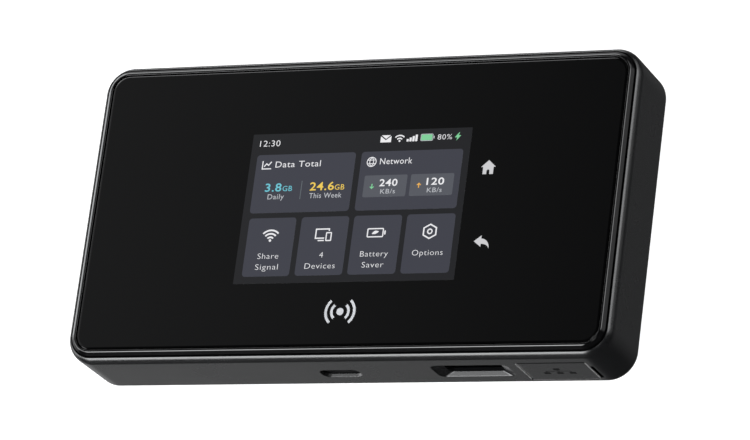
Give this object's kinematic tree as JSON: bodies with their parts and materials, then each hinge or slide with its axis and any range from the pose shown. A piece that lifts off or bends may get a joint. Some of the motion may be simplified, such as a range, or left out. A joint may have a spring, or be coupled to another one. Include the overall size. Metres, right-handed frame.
{
  "type": "mobile hotspot",
  "caption": "Pocket router: flat rounded case with a glossy touchscreen front, charging, accessory and flap-covered network ports, and a lift-off back over a battery.",
  "frame": {"origin": "centre of the back face's outline, on the surface that the case lies on", "axes": "+Z out of the screen, +Y towards the top of the displayed picture, +X to the picture's right; the ports are on the -Y edge"},
  "size_m": [0.132, 0.0722, 0.0192],
  "materials": {
    "case_plastic": "fine satin texture",
    "cover_plastic": "fine satin texture",
    "gloss_black": "polished",
    "screen_glass": "polished, printed black behind",
    "screen_image": "lit display",
    "touch_icons": "lit print",
    "inner_plastic": "moulded",
    "tape": "double-sided tape",
    "circuit_board": "solder mask",
    "chip_resin": "moulded resin",
    "steel": "tinned sheet",
    "gold": "plated contacts",
    "copper_film": "printed film",
    "battery_wrap": "printed sleeve",
    "silicone_pad": "soft pad",
    "aluminium_sheet": "rolled sheet",
    "pale_plastic": "moulded"
  },
  "bodies": {
    "case": {"antenna_left": "copper_film", "antenna_right": "copper_film", "antenna_top": "copper_film", "back_led": "pale_plastic", "battery_connector": "inner_plastic", "battery_contacts": "gold", "coax_left": "inner_plastic", "coax_right": "inner_plastic", "cover_glass": "screen_glass", "flap_hinge_pin": "steel", "front_shell": "gloss_black", "glass_adhesive": "tape", "heat_spreader": "aluminium_sheet", "home_led": "pale_plastic", "icon_light_guide": "touch_icons", "lan_contacts": "gold", "lan_jack": "inner_plastic", "lan_magnetics": "chip_resin", "lcd_backlight": "inner_plastic", "lcd_connector": "inner_plastic", "lcd_flex": "copper_film", "lcd_panel": "screen_image", "main_board": "circuit_board", "modem_chip": "chip_resin", "modem_shield": "steel", "power_chip": "chip_resin", "power_shield": "steel", "power_switch": "inner_plastic", "rear_tub": "inner_plastic", "reset_switch": "steel", "screw_1": "steel", "screw_2": "steel", "screw_3": "steel", "screw_4": "steel", "screw_5": "steel", "screw_6": "steel", "side_frame": "case_plastic", "sim_holder": "steel", "thermal_pad": "silicone_pad", "usb_a_shell": "steel", "usb_a_tongue": "chip_resin", "usb_c_riser": "inner_plastic", "usb_c_shell": "steel", "usb_c_tongue": "chip_resin", "wifi_chip": "chip_resin", "wifi_shield": "steel"},
    "back_cover": {"back_cover": "cover_plastic"},
    "battery": {"battery_pack": "battery_wrap", "battery_terminals": "gold"},
    "lan_flap": {"lan_flap": "case_plastic"},
    "power_key": {"power_key": "case_plastic", "power_switch_plunger": "pale_plastic"},
    "reset_plunger": {"reset_plunger": "inner_plastic"},
    "sim_card": {"sim_card": "pale_plastic"}
  },
  "joints": [
    {"name": "back_cover_lift", "type": "slide", "parent": "case", "child": "back_cover", "axis": [0, 0, -1], "range_m": [0, 0.04]},
    {"name": "battery_lift", "type": "slide", "parent": "case", "child": "battery", "axis": [0, 0, -1], "range_m": [0, 0.02]},
    {"name": "lan_flap_hinge", "type": "hinge", "parent": "case", "child": "lan_flap", "pos_m": [0.04355, -0.035, 0.00795], "axis": [0, 0, -1], "range_deg": [0, 100]},
    {"name": "power_key_press", "type": "slide", "parent": "case", "child": "power_key", "axis": [0, -1, 0], "range_m": [0, 0.0003], "stiffness_N_per_m": 1500, "springref_m": -0.0008},
    {"name": "reset_press", "type": "slide", "parent": "case", "child": "reset_plunger", "axis": [0, 0, 1], "range_m": [0, 0.0002], "stiffness_N_per_m": 1500, "springref_m": -0.0006},
    {"name": "sim_card_slide", "type": "slide", "parent": "case", "child": "sim_card", "axis": [1, 0, 0], "range_m": [0, 0.011]}
  ],
  "couplings": [
    {"joint": "battery_lift", "follows": "back_cover_lift", "ratio": 0.5}
  ]
}
